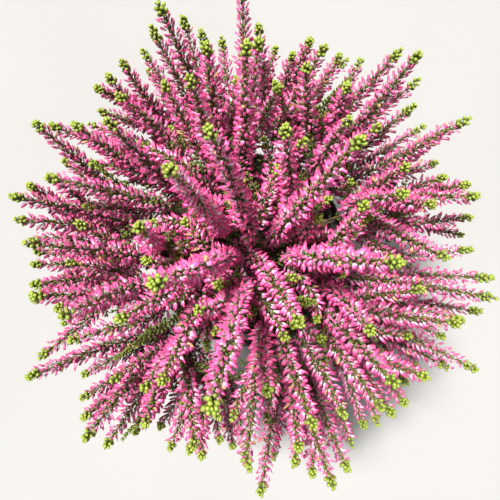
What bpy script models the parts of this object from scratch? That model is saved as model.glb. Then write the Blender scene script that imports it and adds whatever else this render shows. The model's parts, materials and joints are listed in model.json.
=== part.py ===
"""A potted heather: a plain nursery pot of peat, one woody plant and its crowded flowering shoots.

Blender 4.5, metres, +Z up, origin at the middle of the pot's foot. Every shoot follows a curved route
from the crown. The routes push each other aside until their florets have room, and each shoot is then
a slim tube along its route with one pointed floret or leaf raised from each face.
"""

import math
import random

import bmesh
import bpy
import numpy as np
from mathutils import Vector

# Pot and soil
POT_HEIGHT = 0.110
POT_TOP_RADIUS = 0.064
POT_FOOT_RADIUS = 0.047
POT_WALL = 0.0018
COLLAR_HEIGHT = 0.013
COLLAR_STEP = 0.0022
FOOT_CHAMFER = 0.003
POT_SIDES = 32
DRAIN_COUNT = 6
DRAIN_RADIUS = 0.0045
DRAIN_CIRCLE = 0.033
SOIL_TOP = 0.098
SOIL_RISE = 0.002
SOIL_LUMP = 0.001
SOIL_RINGS = 3
GAP = 0.0003

# Crown of the plant, half sunk in its hole in the soil
ROOT_RADIUS = 0.0085
ROOT_DEPTH = 0.030
CROWN_RADIUS = 0.0105
CROWN_HEIGHT = 0.014
CROWN_SIDES = 10
BRANCH_START_HEIGHT = 0.008
BRANCH_START_RADIUS = 0.0021
BRANCH_END_RADIUS = 0.0013

# Shoots: points a STEP apart on the routes, and a ring of florets at every FLORET_STEP
STEP = 0.0110
SIDES = 3
CORE_RADIUS = 0.0026
FLORET_STEP = 0.0160
FLORET_REACH = 0.0062
FLORET_LEAN = 0.0042
BARE_RADIUS = 0.0011
BARE_ROOM = 0.0026
TIP_CORE_RADIUS = 0.0021
TIP_REACH = 0.0037
TIP_LEAN = 0.0016
TIP_STEP = 0.0037
LEAFY_STEP = 0.0052
CLEARANCE = 0.0009
RIM_CLEARANCE = 0.003
CROWDING_ROUNDS = 160
CROWDING_RANGE = 0.04
FIRST_FORK = 4
SEED = 22

# Leaders stand above the rest: azimuth in degrees, radius and height of the tip over the soil in mm
LEADERS = (
    (109, 39, 185),
    (135, 34, 190),
    (199, 30, 190),
    (256, 43, 205),
    (355, 46, 183),
    (45, 52, 172),
    (74, 46, 158),
    (91, 74, 158),
    (304, 34, 150),
    (277, 55, 148),
    (168, 42, 155),
    (208, 56, 150),
    (22, 50, 138),
    (326, 56, 148),
    (236, 60, 150),
)
# Leafy shoots carry no flowers: azimuth, tip radius and tip height, as above
LEAFY = (
    (321, 118, 44),
    (236, 122, 72),
    (219, 78, 112),
    (324, 40, 118),
    (60, 98, 92),
    (150, 88, 96),
    (15, 104, 62),
)
MIDDLE_COUNT = 8
MIDDLE_RADIUS = (0.084, 0.096)
MIDDLE_HEIGHT = (0.112, 0.130)
OUTER_COUNT = 12
OUTER_RADIUS = (0.117, 0.126)
OUTER_HEIGHT = (0.062, 0.082)
AZIMUTH_JITTER = 0.07
HEIGHT_JITTER = 0.006

# For each kind of shoot: the share of its route before the flowers, how far from the middle it starts,
# and how much of its tip's radius and height its route is pulled to halfway
KINDS = {
    "leader": {"flower_from": 0.36, "start_radius": 0.003, "bow": (0.42, 0.46)},
    "middle": {"flower_from": 0.43, "start_radius": 0.006, "bow": (0.55, 0.36)},
    "outer": {"flower_from": 0.44, "start_radius": 0.008, "bow": (0.56, 0.36)},
    "leafy": {"flower_from": 0.56, "start_radius": 0.008, "bow": (0.55, 0.36)},
}
# Side shoots of each kind: the share of the main route where one leaves, its turn about the pot in
# degrees, and its tip's radius and height as shares of the main tip's
FORKS = {
    "leader": ((0.24, 30, 0.80, 0.62), (0.30, -40, 1.05, 0.55)),
    "middle": ((0.30, -15, 0.98, 0.90), (0.34, 15, 0.98, 1.08), (0.27, -7, 0.78, 1.22), (0.37, 8, 0.96, 0.70),
               (0.32, 21, 0.90, 0.80), (0.36, -23, 0.84, 0.50)),
    "outer": ((0.30, -15, 0.98, 1.25), (0.34, 14, 0.99, 0.80), (0.27, 4, 0.88, 1.50), (0.32, -9, 1.00, 0.66),
              (0.36, 9, 0.95, 1.20), (0.38, -4, 0.91, 1.05), (0.28, 2, 0.74, 0.42)),
    "leafy": (),
}

PINK = (0.82, 0.16, 0.40, 1)
GREEN = (0.36, 0.48, 0.07, 1)
BARK = (0.16, 0.10, 0.06, 1)
PEAT = (0.045, 0.030, 0.020, 1)
PLASTIC = (0.035, 0.038, 0.042, 1)


def clear_scene():
    for old in list(bpy.data.objects):
        bpy.data.objects.remove(old)


def material(name, colour, roughness):
    made = bpy.data.materials.new(name)
    made.use_nodes = True
    shader = made.node_tree.nodes["Principled BSDF"]
    shader.inputs["Base Color"].default_value = colour
    shader.inputs["Roughness"].default_value = roughness
    shader.inputs["Metallic"].default_value = 0
    return made


def linked(name, data, collection):
    made = bpy.data.objects.new(name, data)
    collection.objects.link(made)
    return made


def evaluated_mesh(obj):
    bpy.context.view_layer.update()
    graph = bpy.context.evaluated_depsgraph_get()
    return bpy.data.meshes.new_from_object(obj.evaluated_get(graph))


# Growth of the routes

def from_crown(azimuth, radius, height):
    return np.array([radius * math.cos(azimuth), radius * math.sin(azimuth), SOIL_TOP + height])


def arc(start, middle, end, step=STEP):
    """Points a step apart on the quadratic curve from start to end that middle pulls aside."""
    share = np.linspace(0, 1, 60)[:, None]
    fine = (1 - share) ** 2 * start + 2 * share * (1 - share) * middle + share**2 * end
    return even(fine, step)


def even(route, step):
    """The same route with its points spread evenly, a step apart or as near to that as fits."""
    along = np.concatenate([[0], np.cumsum(np.linalg.norm(np.diff(route, axis=0), axis=1))])
    wanted = np.linspace(0, along[-1], max(2, round(along[-1] / step)) + 1)
    return np.stack([np.interp(wanted, along, route[:, k]) for k in range(3)], axis=1)


def main_axis(kind, azimuth, radius, height):
    """The route of a shoot from the crown to its tip, rising late where it leans far out."""
    out, up = KINDS[kind]["bow"]
    start = from_crown(azimuth, KINDS[kind]["start_radius"], BRANCH_START_HEIGHT)
    middle = from_crown(azimuth, out * radius, up * height)
    return arc(start, middle, from_crown(azimuth, radius, height))


def bare_points(kind, main):
    return round(KINDS[kind]["flower_from"] * (len(main) - 1))


def side_axes(kind, number, azimuth, radius, height, main, draw):
    """Routes of the side shoots that fork from a main route."""
    found = []
    for leave, turn, wide, high in FORKS[kind]:
        start = max(round(leave * (len(main) - 1)), FIRST_FORK)
        side = (-1) ** number * math.radians(turn * draw.uniform(0.85, 1.1))
        lift = height * high + draw.uniform(-HEIGHT_JITTER, HEIGHT_JITTER)
        tip = from_crown(azimuth + side, wide * radius, lift)
        ahead = main[start] + 0.4 * (main[-1] - main[start])
        middle = 0.5 * (ahead + 0.5 * (main[start] + tip))
        found.append({"points": arc(main[start], middle, tip), "fork": start})
    return found


def plan():
    """Every axis in the plant: its shoot, its kind, its points and where it forks from."""
    draw = random.Random(SEED)
    shoots = [("leader", math.radians(a), r / 1000, h / 1000) for a, r, h in LEADERS]
    for i in range(MIDDLE_COUNT):
        azimuth = math.tau * (i + 0.25 + draw.uniform(-AZIMUTH_JITTER, AZIMUTH_JITTER)) / MIDDLE_COUNT
        shoots.append(("middle", azimuth, draw.uniform(*MIDDLE_RADIUS), draw.uniform(*MIDDLE_HEIGHT)))
    for i in range(OUTER_COUNT):
        azimuth = math.tau * (i + 0.5 + draw.uniform(-AZIMUTH_JITTER, AZIMUTH_JITTER)) / OUTER_COUNT
        height = OUTER_HEIGHT[i % 2] + draw.uniform(-HEIGHT_JITTER, HEIGHT_JITTER)
        shoots.append(("outer", azimuth, draw.uniform(*OUTER_RADIUS), height))
    shoots += [("leafy", math.radians(a), r / 1000, h / 1000) for a, r, h in LEAFY]

    axes = []
    for shoot, (kind, azimuth, radius, height) in enumerate(shoots):
        main = main_axis(kind, azimuth, radius, height)
        parent = len(axes)
        axes.append({"shoot": shoot, "kind": kind, "points": main, "parent": None})
        for side in side_axes(kind, shoot, azimuth, radius, height, main, draw):
            axes.append({"shoot": shoot, "kind": kind, "parent": parent, "main": main, **side})
    return axes


def flower_start(axis):
    """Index of the first point with flowers, or with leaves on a leafy shoot."""
    if axis["parent"] is None:
        return bare_points(axis["kind"], axis["points"])
    return bare_points(axis["kind"], axis["main"]) - axis["fork"]


def reaches(axis):
    """How far the shoot reaches from its route at each point."""
    found = np.full(len(axis["points"]), BARE_ROOM)
    found[flower_start(axis):] = TIP_REACH if axis["kind"] == "leafy" else FLORET_REACH
    found[-1:] = TIP_REACH
    return found


def crowding_pairs(axes, owner, index, reach, points):
    """Pairs of points that may come too near each other: of two shoots, or of one past its fork."""
    shoot = np.array([axis["shoot"] for axis in axes])[owner]
    is_side = np.array([axis["parent"] is not None for axis in axes])[owner]
    first, second = np.triu_indices(len(points), 1)
    near = np.linalg.norm(points[first] - points[second], axis=1) < CROWDING_RANGE
    first, second = first[near], second[near]
    in_crown = ~is_side & (index < 2)
    bare = reach < TIP_REACH
    apart = (owner[first] != owner[second]) & ~(in_crown[first] | in_crown[second])
    kin = (shoot[first] == shoot[second]) & (bare[first] | bare[second])
    return first[apart & ~kin], second[apart & ~kin]


def crowd(axes):
    """Pushes the routes aside where florets would meet and evens them out, less so in later rounds."""
    owner = np.concatenate([np.full(len(a["points"]), i) for i, a in enumerate(axes)])
    index = np.concatenate([np.arange(len(a["points"])) for a in axes])
    reach = np.concatenate([reaches(a) for a in axes])
    points = np.concatenate([a["points"] for a in axes])
    starts = np.concatenate([[0], np.cumsum([len(a["points"]) for a in axes])])
    first, second = crowding_pairs(axes, owner, index, reach, points)
    need = reach[first] + reach[second] + CLEARANCE
    freedom = np.clip((index - 0.5) / 4, 0, 1)
    rim_from, rim_to = POT_TOP_RADIUS - 0.018, POT_TOP_RADIUS + FLORET_REACH + STEP / 2
    for turn in range(CROWDING_ROUNDS):
        evening = 0.25 * (1 - 0.7 * turn / CROWDING_ROUNDS)
        apart = points[first] - points[second]
        distance = np.maximum(np.linalg.norm(apart, axis=1), 1e-6)
        short = np.maximum(need - distance, 0) / distance
        push = np.zeros_like(points)
        np.add.at(push, first, 0.5 * short[:, None] * apart)
        np.add.at(push, second, -0.5 * short[:, None] * apart)
        points += freedom[:, None] * push
        radius = np.hypot(points[:, 0], points[:, 1])
        over = (radius > rim_from) & (radius < rim_to)
        points[over, 2] = np.maximum(points[over, 2], POT_HEIGHT + RIM_CLEARANCE + reach[over])
        for i, axis in enumerate(axes):
            here = points[starts[i]:starts[i + 1]]
            here[1:-1] += evening * (here[:-2] + here[2:] - 2 * here[1:-1])
            if axis["parent"] is not None:
                here[0] = points[starts[axis["parent"]] + axis["fork"]]
    for i, axis in enumerate(axes):
        axis["points"] = points[starts[i]:starts[i + 1]].copy()
    return axes


# Surfaces of the shoots

def profile_curve(sides, collection):
    """A unit outline, clockwise so that a tube's faces point outwards."""
    curve = bpy.data.curves.new("tube_outline", "CURVE")
    curve.dimensions = "2D"
    spline = curve.splines.new("POLY")
    spline.points.add(sides - 1)
    for i, point in enumerate(spline.points):
        angle = -math.tau * i / sides
        point.co = (math.cos(angle), math.sin(angle), 0, 1)
    spline.use_cyclic_u = True
    made = linked("tube_outline", curve, collection)
    made.hide_render = True
    return made


def tube_mesh(route, radii, turns, outline, collection):
    """A closed tube along route, with a radius and a turn about the route at each of its points."""
    curve = bpy.data.curves.new("route", "CURVE")
    curve.dimensions = "3D"
    curve.bevel_mode = "OBJECT"
    curve.bevel_object = outline
    curve.use_fill_caps = True
    spline = curve.splines.new("POLY")
    spline.points.add(len(route) - 1)
    for i, point in enumerate(spline.points):
        point.co = (*route[i], 1)
        point.radius = radii[i]
        point.tilt = turns[i]
    guide = linked("route", curve, collection)
    mesh = evaluated_mesh(guide)
    bpy.data.objects.remove(guide)
    return mesh


def raise_points(mesh, route, reach, lean, draw):
    """Raises one pointed floret or leaf from each face along a tube, leaning towards the tip."""
    form = bmesh.new()
    form.from_mesh(mesh)
    form.faces.ensure_lookup_table()
    sides = [face for face in form.faces if len(face.verts) == 4]
    for number, face in enumerate(sides):
        ring = number // SIDES
        if reach[ring] <= 0:
            continue
        ahead = Vector(route[ring + 1] - route[ring]).normalized()
        size = draw.uniform(0.86, 1.1)
        height = size * reach[ring] - (face.calc_center_median() - middle_of(route, ring)).length
        made = bmesh.ops.poke(form, faces=[face], offset=height, center_mode="MEAN")
        for point in made["verts"]:
            point.co += size * lean[ring] * ahead
    bmesh.ops.remove_doubles(form, verts=form.verts, dist=0.00001)
    form.to_mesh(mesh)
    form.free()
    return mesh


def middle_of(route, ring):
    return Vector((route[ring] + route[ring + 1]) / 2)


def raceme(route, bare, tip, root_radius, outline, collection, draw):
    """One flowering axis: bare stem up to point number bare, florets, and leaves from point number tip."""
    flowering = even(route[bare:tip + 1], FLORET_STEP)
    route = np.concatenate([route[:bare], flowering, route[tip + 1:]])
    tip = bare + len(flowering) - 1
    last = len(route) - 1
    radii = [BARE_RADIUS] * (bare + 1) + [CORE_RADIUS] * (last - bare)
    radii[0] = root_radius
    radii[tip:] = [TIP_CORE_RADIUS] * (last - tip + 1)
    if tip < last:
        radii[last] = 0.6 * TIP_CORE_RADIUS
    reach = [0] * bare + [FLORET_REACH] * (tip - bare) + [TIP_REACH] * (last - tip)
    reach[bare] = 0.75 * FLORET_REACH
    reach[tip - 1] = 0.85 * FLORET_REACH
    lean = [FLORET_LEAN] * tip + [TIP_LEAN] * (last - tip)
    turns = [math.pi / SIDES * max(0, i - bare) for i in range(len(route))]
    mesh = tube_mesh(route, radii, turns, outline, collection)
    return raise_points(mesh, route, reach, lean, draw)


def leaf_tip(route, outline, collection, draw):
    """A leafy stretch of shoot that narrows to its end."""
    shares = np.linspace(0, 1, len(route))
    radii = [TIP_CORE_RADIUS * (1 - 0.55 * share**2) for share in shares]
    reach = [TIP_REACH * (1 - 0.25 * share) for share in shares[1:]]
    turns = [math.pi / SIDES * i for i in range(len(route))]
    mesh = tube_mesh(route, radii, turns, outline, collection)
    return raise_points(mesh, route, reach, [TIP_LEAN] * len(reach), draw)


def joined(name, meshes, collection):
    """One body made of several meshes that are rooted in the first."""
    made = linked(name, meshes[0], collection)
    if len(meshes) == 1:
        return made
    pieces = bpy.data.collections.new(name + "_pieces")
    bpy.context.scene.collection.children.link(pieces)
    for i, mesh in enumerate(meshes[1:]):
        linked(f"{name}_piece_{i}", mesh, pieces).hide_render = True
    union = made.modifiers.new("union", "BOOLEAN")
    union.operand_type = "COLLECTION"
    union.collection = pieces
    union.operation = "UNION"
    union.solver = "EXACT"
    whole = evaluated_mesh(made)
    made.modifiers.clear()
    made.data = whole
    for piece in list(pieces.objects):
        bpy.data.objects.remove(piece)
    bpy.data.collections.remove(pieces)
    return made


def split_route(points, start):
    """The points up to index start, and those from it on, beginning a gap past it, more at a bend."""
    ahead = points[start + 1] - points[start]
    ahead /= np.linalg.norm(ahead)
    back = points[start] - points[start - 1]
    back /= np.linalg.norm(back)
    after = points[start:].copy()
    after[0] += (GAP + CORE_RADIUS * np.linalg.norm(np.cross(back, ahead))) * ahead
    return points[:start + 1], after


def grow_shoots(axes, collection, outline, materials):
    """Makes the node or nodes of each shoot and returns the routes of their woody branches."""
    draw = random.Random(SEED)
    counts = {}
    branches = []
    for number, axis in enumerate(axes):
        if axis["parent"] is not None:
            continue
        kind = axis["kind"]
        counts[kind] = counts.get(kind, 0) + 1
        label = f"{kind}_{counts[kind]:02d}"
        sides = [a for a in axes if a["parent"] == number]
        flowers = flower_start(axis)
        stem = min([side["fork"] - 1 for side in sides], default=flowers)
        branch, rest = split_route(axis["points"], stem)
        branches.append(branch)
        if kind == "leafy":
            mesh = leaf_tip(even(rest, LEAFY_STEP), outline, collection, draw)
            linked(label + "_shoot", mesh, collection).data.materials.append(materials["leaf"])
            continue
        if kind == "leader":
            rest, tip = split_route(rest, len(rest) - 2)
            mesh = leaf_tip(even(tip, TIP_STEP), outline, collection, draw)
            linked(label + "_leaf_tip", mesh, collection).data.materials.append(materials["leaf"])
            leafy = len(rest) - 1
        else:
            leafy = len(rest) - 2
        meshes = [raceme(rest, flowers - stem, leafy, BARE_RADIUS, outline, collection, draw)]
        for side in sides:
            route = side["points"]
            root = 0.45 * BARE_RADIUS
            meshes.append(raceme(route, flower_start(side), len(route) - 2, root, outline, collection, draw))
        made = joined(label + "_spray", meshes, collection)
        made.data.materials.clear()
        made.data.materials.append(materials["floret"])
    return branches


# Woody base, soil and pot

def turned(name, profile, sides, collection):
    """A closed solid turned from a profile of (radius, height) that runs down its outer side."""
    mesh = bpy.data.meshes.new(name)
    edges = [(i, i + 1) for i in range(len(profile) - 1)]
    mesh.from_pydata([(r, 0, z) for r, z in profile], edges, [])
    made = linked(name, mesh, collection)
    screw = made.modifiers.new("turn", "SCREW")
    screw.steps = sides
    screw.render_steps = sides
    screw.use_merge_vertices = True
    screw.merge_threshold = 0.00001
    return made


def woody_base(branches, collection, outline, bark):
    """The crown with its root and the woody part of every shoot."""
    profile = [
        (0, SOIL_TOP + CROWN_HEIGHT),
        (0.6 * CROWN_RADIUS, SOIL_TOP + 0.85 * CROWN_HEIGHT),
        (CROWN_RADIUS, SOIL_TOP + BRANCH_START_HEIGHT),
        (ROOT_RADIUS, SOIL_TOP + SOIL_RISE + SOIL_LUMP),
        (ROOT_RADIUS, SOIL_TOP - ROOT_DEPTH + 0.006),
        (0.6 * ROOT_RADIUS, SOIL_TOP - ROOT_DEPTH),
        (0, SOIL_TOP - ROOT_DEPTH),
    ]
    crown = turned("crown", profile, CROWN_SIDES, collection)
    meshes = [evaluated_mesh(crown)]
    bpy.data.objects.remove(crown)
    for branch in branches:
        radii = np.linspace(BRANCH_START_RADIUS, BRANCH_END_RADIUS, len(branch))
        mesh = tube_mesh(branch, radii, [0] * len(branch), outline, collection)
        form = bmesh.new()
        form.from_mesh(mesh)
        bmesh.ops.remove_doubles(form, verts=form.verts, dist=0.00001)
        form.to_mesh(mesh)
        form.free()
        meshes.append(mesh)
    made = joined("woody_stems", meshes, collection)
    made.data.materials.clear()
    made.data.materials.append(bark)


def pot_inner_radius(height):
    share = height / POT_HEIGHT
    return POT_FOOT_RADIUS + share * (POT_TOP_RADIUS - COLLAR_STEP - POT_FOOT_RADIUS) - POT_WALL


def pot(collection, plastic):
    """The pot: a tapered shell with a stepped collar, a flat foot and drain holes."""
    collar_bottom = POT_HEIGHT - COLLAR_HEIGHT
    under_collar = pot_inner_radius(collar_bottom) + POT_WALL
    inside = [
        (0, POT_WALL),
        (pot_inner_radius(POT_WALL) - 0.001, POT_WALL),
        (pot_inner_radius(collar_bottom), collar_bottom),
        (POT_TOP_RADIUS - 0.0006 - POT_WALL, collar_bottom + 0.0015),
        (POT_TOP_RADIUS - POT_WALL, POT_HEIGHT),
    ]
    outside = [
        (POT_TOP_RADIUS, POT_HEIGHT),
        (POT_TOP_RADIUS - 0.0006, collar_bottom),
        (under_collar, collar_bottom - 0.001),
        (POT_FOOT_RADIUS, FOOT_CHAMFER),
        (POT_FOOT_RADIUS - FOOT_CHAMFER, 0),
        (0, 0),
    ]
    shell = turned("pot", inside + outside, POT_SIDES, collection)
    cutters = bpy.data.collections.new("pot_cutters")
    bpy.context.scene.collection.children.link(cutters)
    for i in range(DRAIN_COUNT):
        angle = math.tau * (i + 0.5) / DRAIN_COUNT
        form = bmesh.new()
        bmesh.ops.create_cone(form, cap_ends=True, segments=8, radius1=DRAIN_RADIUS,
                              radius2=DRAIN_RADIUS, depth=4 * POT_WALL)
        mesh = bpy.data.meshes.new("drain")
        form.to_mesh(mesh)
        form.free()
        cutter = linked(f"drain_{i}", mesh, cutters)
        cutter.location = (DRAIN_CIRCLE * math.cos(angle), DRAIN_CIRCLE * math.sin(angle), POT_WALL / 2)
        cutter.hide_render = True
        cutter.display_type = "WIRE"
    cut = shell.modifiers.new("drains", "BOOLEAN")
    cut.operand_type = "COLLECTION"
    cut.collection = cutters
    cut.operation = "DIFFERENCE"
    cut.solver = "EXACT"
    shell.data.materials.append(plastic)


def soil(collection, peat):
    """Peat that fills the pot to under the rim, crumbled on top, with a hole for the root."""
    hole = ROOT_RADIUS + GAP
    edge = SOIL_TOP - 0.002
    top_radius = pot_inner_radius(edge) - GAP
    root_hole = [
        (0, SOIL_TOP - ROOT_DEPTH - GAP),
        (hole, SOIL_TOP - ROOT_DEPTH - GAP),
    ]
    top = [(hole + (top_radius - hole) * i / SOIL_RINGS, SOIL_TOP + SOIL_RISE * (1 - i / SOIL_RINGS))
           for i in range(SOIL_RINGS + 1)]
    outside = [
        (top_radius, edge),
        (pot_inner_radius(POT_WALL) - 0.001 - GAP, POT_WALL + GAP),
        (0, POT_WALL + GAP),
    ]
    body = turned("soil", root_hole + top[:-1] + outside, POT_SIDES, collection)
    mesh = evaluated_mesh(body)
    body.modifiers.clear()
    body.data = mesh
    draw = random.Random(SEED)
    for vertex in mesh.vertices:
        radius = math.hypot(vertex.co.x, vertex.co.y)
        if vertex.co.z > SOIL_TOP - 0.001 and radius > CROWN_RADIUS:
            vertex.co.z += draw.uniform(-SOIL_LUMP, SOIL_LUMP)
    body.data.materials.append(peat)


def main():
    clear_scene()
    collection = bpy.data.collections.new("potted_heather")
    bpy.context.scene.collection.children.link(collection)
    materials = {
        "floret": material("floret_pink", PINK, 0.55),
        "leaf": material("leaf_green", GREEN, 0.5),
        "bark": material("bark", BARK, 0.85),
        "peat": material("peat", PEAT, 0.95),
        "plastic": material("pot_plastic", PLASTIC, 0.45),
    }
    outline = profile_curve(SIDES, collection)
    axes = crowd(plan())
    branches = grow_shoots(axes, collection, outline, materials)
    woody_base(branches, collection, outline, materials["bark"])
    bpy.data.objects.remove(outline)
    soil(collection, materials["peat"])
    pot(collection, materials["plastic"])


main()
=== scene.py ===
"""The looks of the potted heather: florets, leaves, stems, bark, peat and pot, seen from above.

Shoots are grown by the same rule and the same seeded draws as the part's own source, so that each
piece lies where its CAD node is. Lengths are in metres, +Z up, origin at the middle of the pot's foot.
"""

import json
import math
import random
from collections import Counter

import bmesh
import bpy
import numpy as np
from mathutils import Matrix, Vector, noise

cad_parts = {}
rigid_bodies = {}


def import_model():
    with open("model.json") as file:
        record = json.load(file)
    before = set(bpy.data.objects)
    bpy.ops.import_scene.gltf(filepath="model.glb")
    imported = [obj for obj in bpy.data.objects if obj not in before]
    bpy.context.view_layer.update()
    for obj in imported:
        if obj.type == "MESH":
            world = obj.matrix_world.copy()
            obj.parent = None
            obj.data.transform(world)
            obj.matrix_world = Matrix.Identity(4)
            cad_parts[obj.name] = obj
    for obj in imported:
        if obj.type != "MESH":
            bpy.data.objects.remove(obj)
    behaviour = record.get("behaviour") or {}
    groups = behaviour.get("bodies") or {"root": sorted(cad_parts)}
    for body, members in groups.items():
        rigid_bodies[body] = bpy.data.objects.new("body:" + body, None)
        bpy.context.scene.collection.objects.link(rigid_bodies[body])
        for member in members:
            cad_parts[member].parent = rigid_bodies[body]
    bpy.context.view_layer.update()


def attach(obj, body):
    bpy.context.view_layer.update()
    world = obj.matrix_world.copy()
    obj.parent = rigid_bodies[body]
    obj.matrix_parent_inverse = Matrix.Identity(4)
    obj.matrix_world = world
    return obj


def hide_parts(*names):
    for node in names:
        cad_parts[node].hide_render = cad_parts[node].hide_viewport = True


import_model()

# Pot, soil and crown, as in the part's source
POT_HEIGHT = 0.110
POT_TOP_RADIUS = 0.064
POT_FOOT_RADIUS = 0.047
POT_WALL = 0.0018
COLLAR_HEIGHT = 0.013
COLLAR_STEP = 0.0022
FOOT_CHAMFER = 0.003
DRAIN_COUNT = 6
DRAIN_RADIUS = 0.0045
DRAIN_CIRCLE = 0.033
SOIL_TOP = 0.098
SOIL_RISE = 0.002
GAP = 0.0003
ROOT_RADIUS = 0.0085
ROOT_DEPTH = 0.030
CROWN_RADIUS = 0.0105
CROWN_HEIGHT = 0.014
BRANCH_START_HEIGHT = 0.008

# Growth of the shoots, as in the part's source; shoots are lifted within RIM_ZONE of the pot's rim
SEED = 22
STEP = 0.0110
ARC_SAMPLES = 60
FLORET_REACH = 0.0062
TIP_REACH = 0.0037
BARE_ROOM = 0.0026
CLEARANCE = 0.0009
LEAST_DISTANCE = 1e-6
RIM_CLEARANCE = 0.003
RIM_ZONE = 0.018
CROWDING_ROUNDS = 160
CROWDING_RANGE = 0.04
EVENING = 0.25
EVENING_FALL = 0.7
STIFF_POINTS = 4
CROWN_POINTS = 2
FIRST_FORK = 4
FORK_TURN_SPREAD = (0.85, 1.1)
FORK_AIM = 0.4

# Tips seen in the photo: azimuth in degrees, radius and height over the soil in millimetres
LEADERS = (
    (109, 39, 185),
    (135, 34, 190),
    (199, 30, 190),
    (256, 43, 205),
    (355, 46, 183),
    (45, 52, 172),
    (74, 46, 158),
    (91, 74, 158),
    (304, 34, 150),
    (277, 55, 148),
    (168, 42, 155),
    (208, 56, 150),
    (22, 50, 138),
    (326, 56, 148),
    (236, 60, 150),
)
LEAFY = (
    (321, 118, 44),
    (236, 122, 72),
    (219, 78, 112),
    (324, 40, 118),
    (60, 98, 92),
    (150, 88, 96),
    (15, 104, 62),
)

# Shoots around them, spaced by rule; the phase turns a ring by that share of its spacing
MIDDLE_COUNT = 8
MIDDLE_PHASE = 0.25
MIDDLE_RADIUS = (0.084, 0.096)
MIDDLE_HEIGHT = (0.112, 0.130)
OUTER_COUNT = 12
OUTER_PHASE = 0.5
OUTER_RADIUS = (0.117, 0.126)
OUTER_HEIGHT = (0.062, 0.082)
AZIMUTH_JITTER = 0.07
HEIGHT_JITTER = 0.006

# flower_from and bow are shares of the shoot's length, and of its radius and height
KINDS = {
    "leader": {"flower_from": 0.36, "start_radius": 0.003, "bow": (0.42, 0.46)},
    "middle": {"flower_from": 0.43, "start_radius": 0.006, "bow": (0.55, 0.36)},
    "outer": {"flower_from": 0.44, "start_radius": 0.008, "bow": (0.56, 0.36)},
    "leafy": {"flower_from": 0.56, "start_radius": 0.008, "bow": (0.55, 0.36)},
}

# Side shoots: where they leave, their turn in degrees, and shares of the shoot's radius and height
FORKS = {
    "leader": ((0.24, 30, 0.80, 0.62), (0.30, -40, 1.05, 0.55)),
    "middle": ((0.30, -15, 0.98, 0.90), (0.34, 15, 0.98, 1.08), (0.27, -7, 0.78, 1.22),
               (0.37, 8, 0.96, 0.70), (0.32, 21, 0.90, 0.80), (0.36, -23, 0.84, 0.50)),
    "outer": ((0.30, -15, 0.98, 1.25), (0.34, 14, 0.99, 0.80), (0.27, 4, 0.88, 1.50),
              (0.32, -9, 1.00, 0.66), (0.36, 9, 0.95, 1.20), (0.38, -4, 0.91, 1.05),
              (0.28, 2, 0.74, 0.42)),
    "leafy": (),
}

# Florets in a spiral: curves are (shares of the way, values there), EARLY_FLOWERS is in route points
FLORETS_PER_METRE = 1700
FLORET_LENGTH = 0.0060
FLORET_WIDTH = 0.0018
FLORET_FOOT = (0.0007, 0.0023)
FLORET_GROWTH = ((0, 0.08, 0.25, 0.7, 1), (0.72, 0.92, 1.0, 0.95, 0.66))
FLORET_LEAN = ((0, 0.75, 1), (0.68, 0.76, 0.92))
FLORET_SIZE_SPREAD = (0.84, 1.12)
FLORET_WIDTH_SPREAD = (0.88, 1.12)
FLORET_LEAN_SPREAD = 0.15
FLORET_TURN_SPREAD = 0.3
FIRST_TURN = (0, 6)
GOLDEN_TURN = 2.39996
EARLY_FLOWERS = 0.5
OPENNESS = (0.0, 0.35, 0.8)
CLOSED_SHARE = 0.45
# Shoot vigour: weaker shoots' florets fade more, and the same value is painted shade, darkening middle
# and outer shoots' florets and lightening the leaders'
VIGOUR_AND_SHADE = {"leader": 1.0, "middle": 0.75, "outer": 0.65}

# How faded florets are, from 0 to 1: less with vigour and towards the tip; the change towards the tip is
# also painted shade, making the lower florets deep in the plant mauve
FADED_MEAN = 0.50
FADED_SPREAD = 0.15
FADED_BY_WEAKNESS = 0.3
FRESH_AND_LIT_TOWARDS_TIP = 0.62
FADED_MOST = 0.85
STRAW_SHARE = 0.015
STRAW_BY_WEAKNESS = 0.05

# A bud's rings as (height, radius), how far openness sinks its tip, and how ridges and grooves differ
BUD_RINGS = ((0.30, 0.47), (0.66, 0.36))
BUD_TIP_SINKS = 0.38
CLOSED_BUD_SIDES = 6
OPEN_BUD_SIDES = 8
BUD_RIDGE = {"wide": 1.08, "opens": 0.75, "rises": 0.24, "high": 0.04}
BUD_GROOVE = {"wide": 0.78, "opens": 0.1, "rises": -0.02, "high": -0.06}

# Leaves and stems; TIP_SPAN is in route points, and an upright route's level length is under UPRIGHT
LEAVES_IN_WHORL = 4
WHORL_TWIST = 0.09
LEAF_GROWTH = ((0, 0.15, 0.7, 1), (0.8, 1, 0.95, 0.62))
LEAF_LEAN = ((0, 0.6, 1), (0.55, 0.75, 1.35))
LEAF_SIZE_SPREAD = (0.82, 1.15)
LEAF_TURN_SPREAD = 0.25
LEAF_LEAN_SPREAD = 0.13
LEAF_ROLL_SPREAD = 0.15
YOUTH_SPREAD = 0.08
TIP_SPAN = 0.62
STEM_RADIUS = 0.0005
STEM_TAPER = (1.25, 0.5)
STEM_SIDES = 6
RINGS_PER_POINT = 3
UNEVENNESS = 0.3
UPRIGHT = 0.001
NO_LENGTH = 1e-9

# Short leafy twigs where each side shoot starts to flower; TWIG_ZONE is in points of its route
TWIG_COUNT = 2
TWIG_ZONE = (-0.8, 2.2)
TWIG_LENGTH = (0.012, 0.018)
TWIG_TURN = (-0.7, 0.2)
TWIG_POINTS = 4
TWIG_LEAVES_FROM = 0.3
TWIG_STEM_TO = 2.9
TWIG_SIDES = 3
TWIG_OUT = 0.8
TWIG_AHEAD = 0.6

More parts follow.
